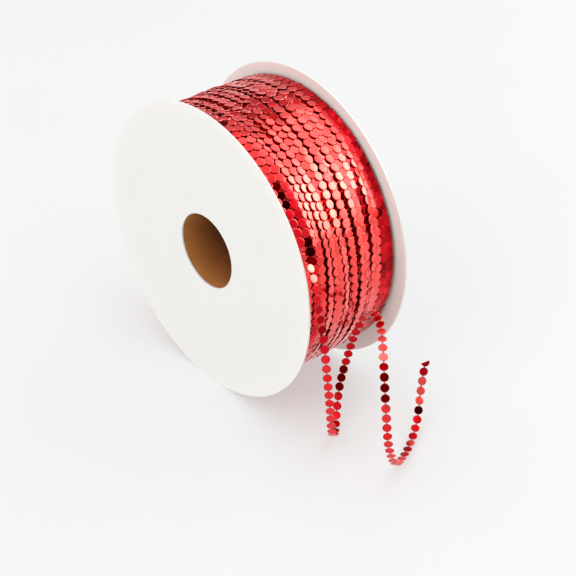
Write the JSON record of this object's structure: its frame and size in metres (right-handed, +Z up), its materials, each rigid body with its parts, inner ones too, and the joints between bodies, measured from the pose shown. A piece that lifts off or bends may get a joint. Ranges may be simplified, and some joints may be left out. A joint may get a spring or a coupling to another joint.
{
  "type": "spool of metallic disc cord",
  "caption": "Card spool that stands on its rims, wound with a metallic red cord of small foil discs, with a loose curling end.",
  "frame": {"origin": "on the floor under the middle of the spool", "axes": "+Z up, +Y along the spool's axis towards the back flange, +X towards the side where the cord's loose end hangs"},
  "size_m": [0.1345, 0.0454, 0.1017],
  "materials": {
    "white_card": "smooth white card",
    "kraft_paperboard": "matt brown paperboard",
    "red_foil": "metallic red foil discs on a thread"
  },
  "bodies": {
    "root": {"flange_front": "white_card", "flange_back": "white_card", "core_tube": "kraft_paperboard", "winding": "red_foil", "cord_end": "red_foil"}
  },
  "joints": []
}
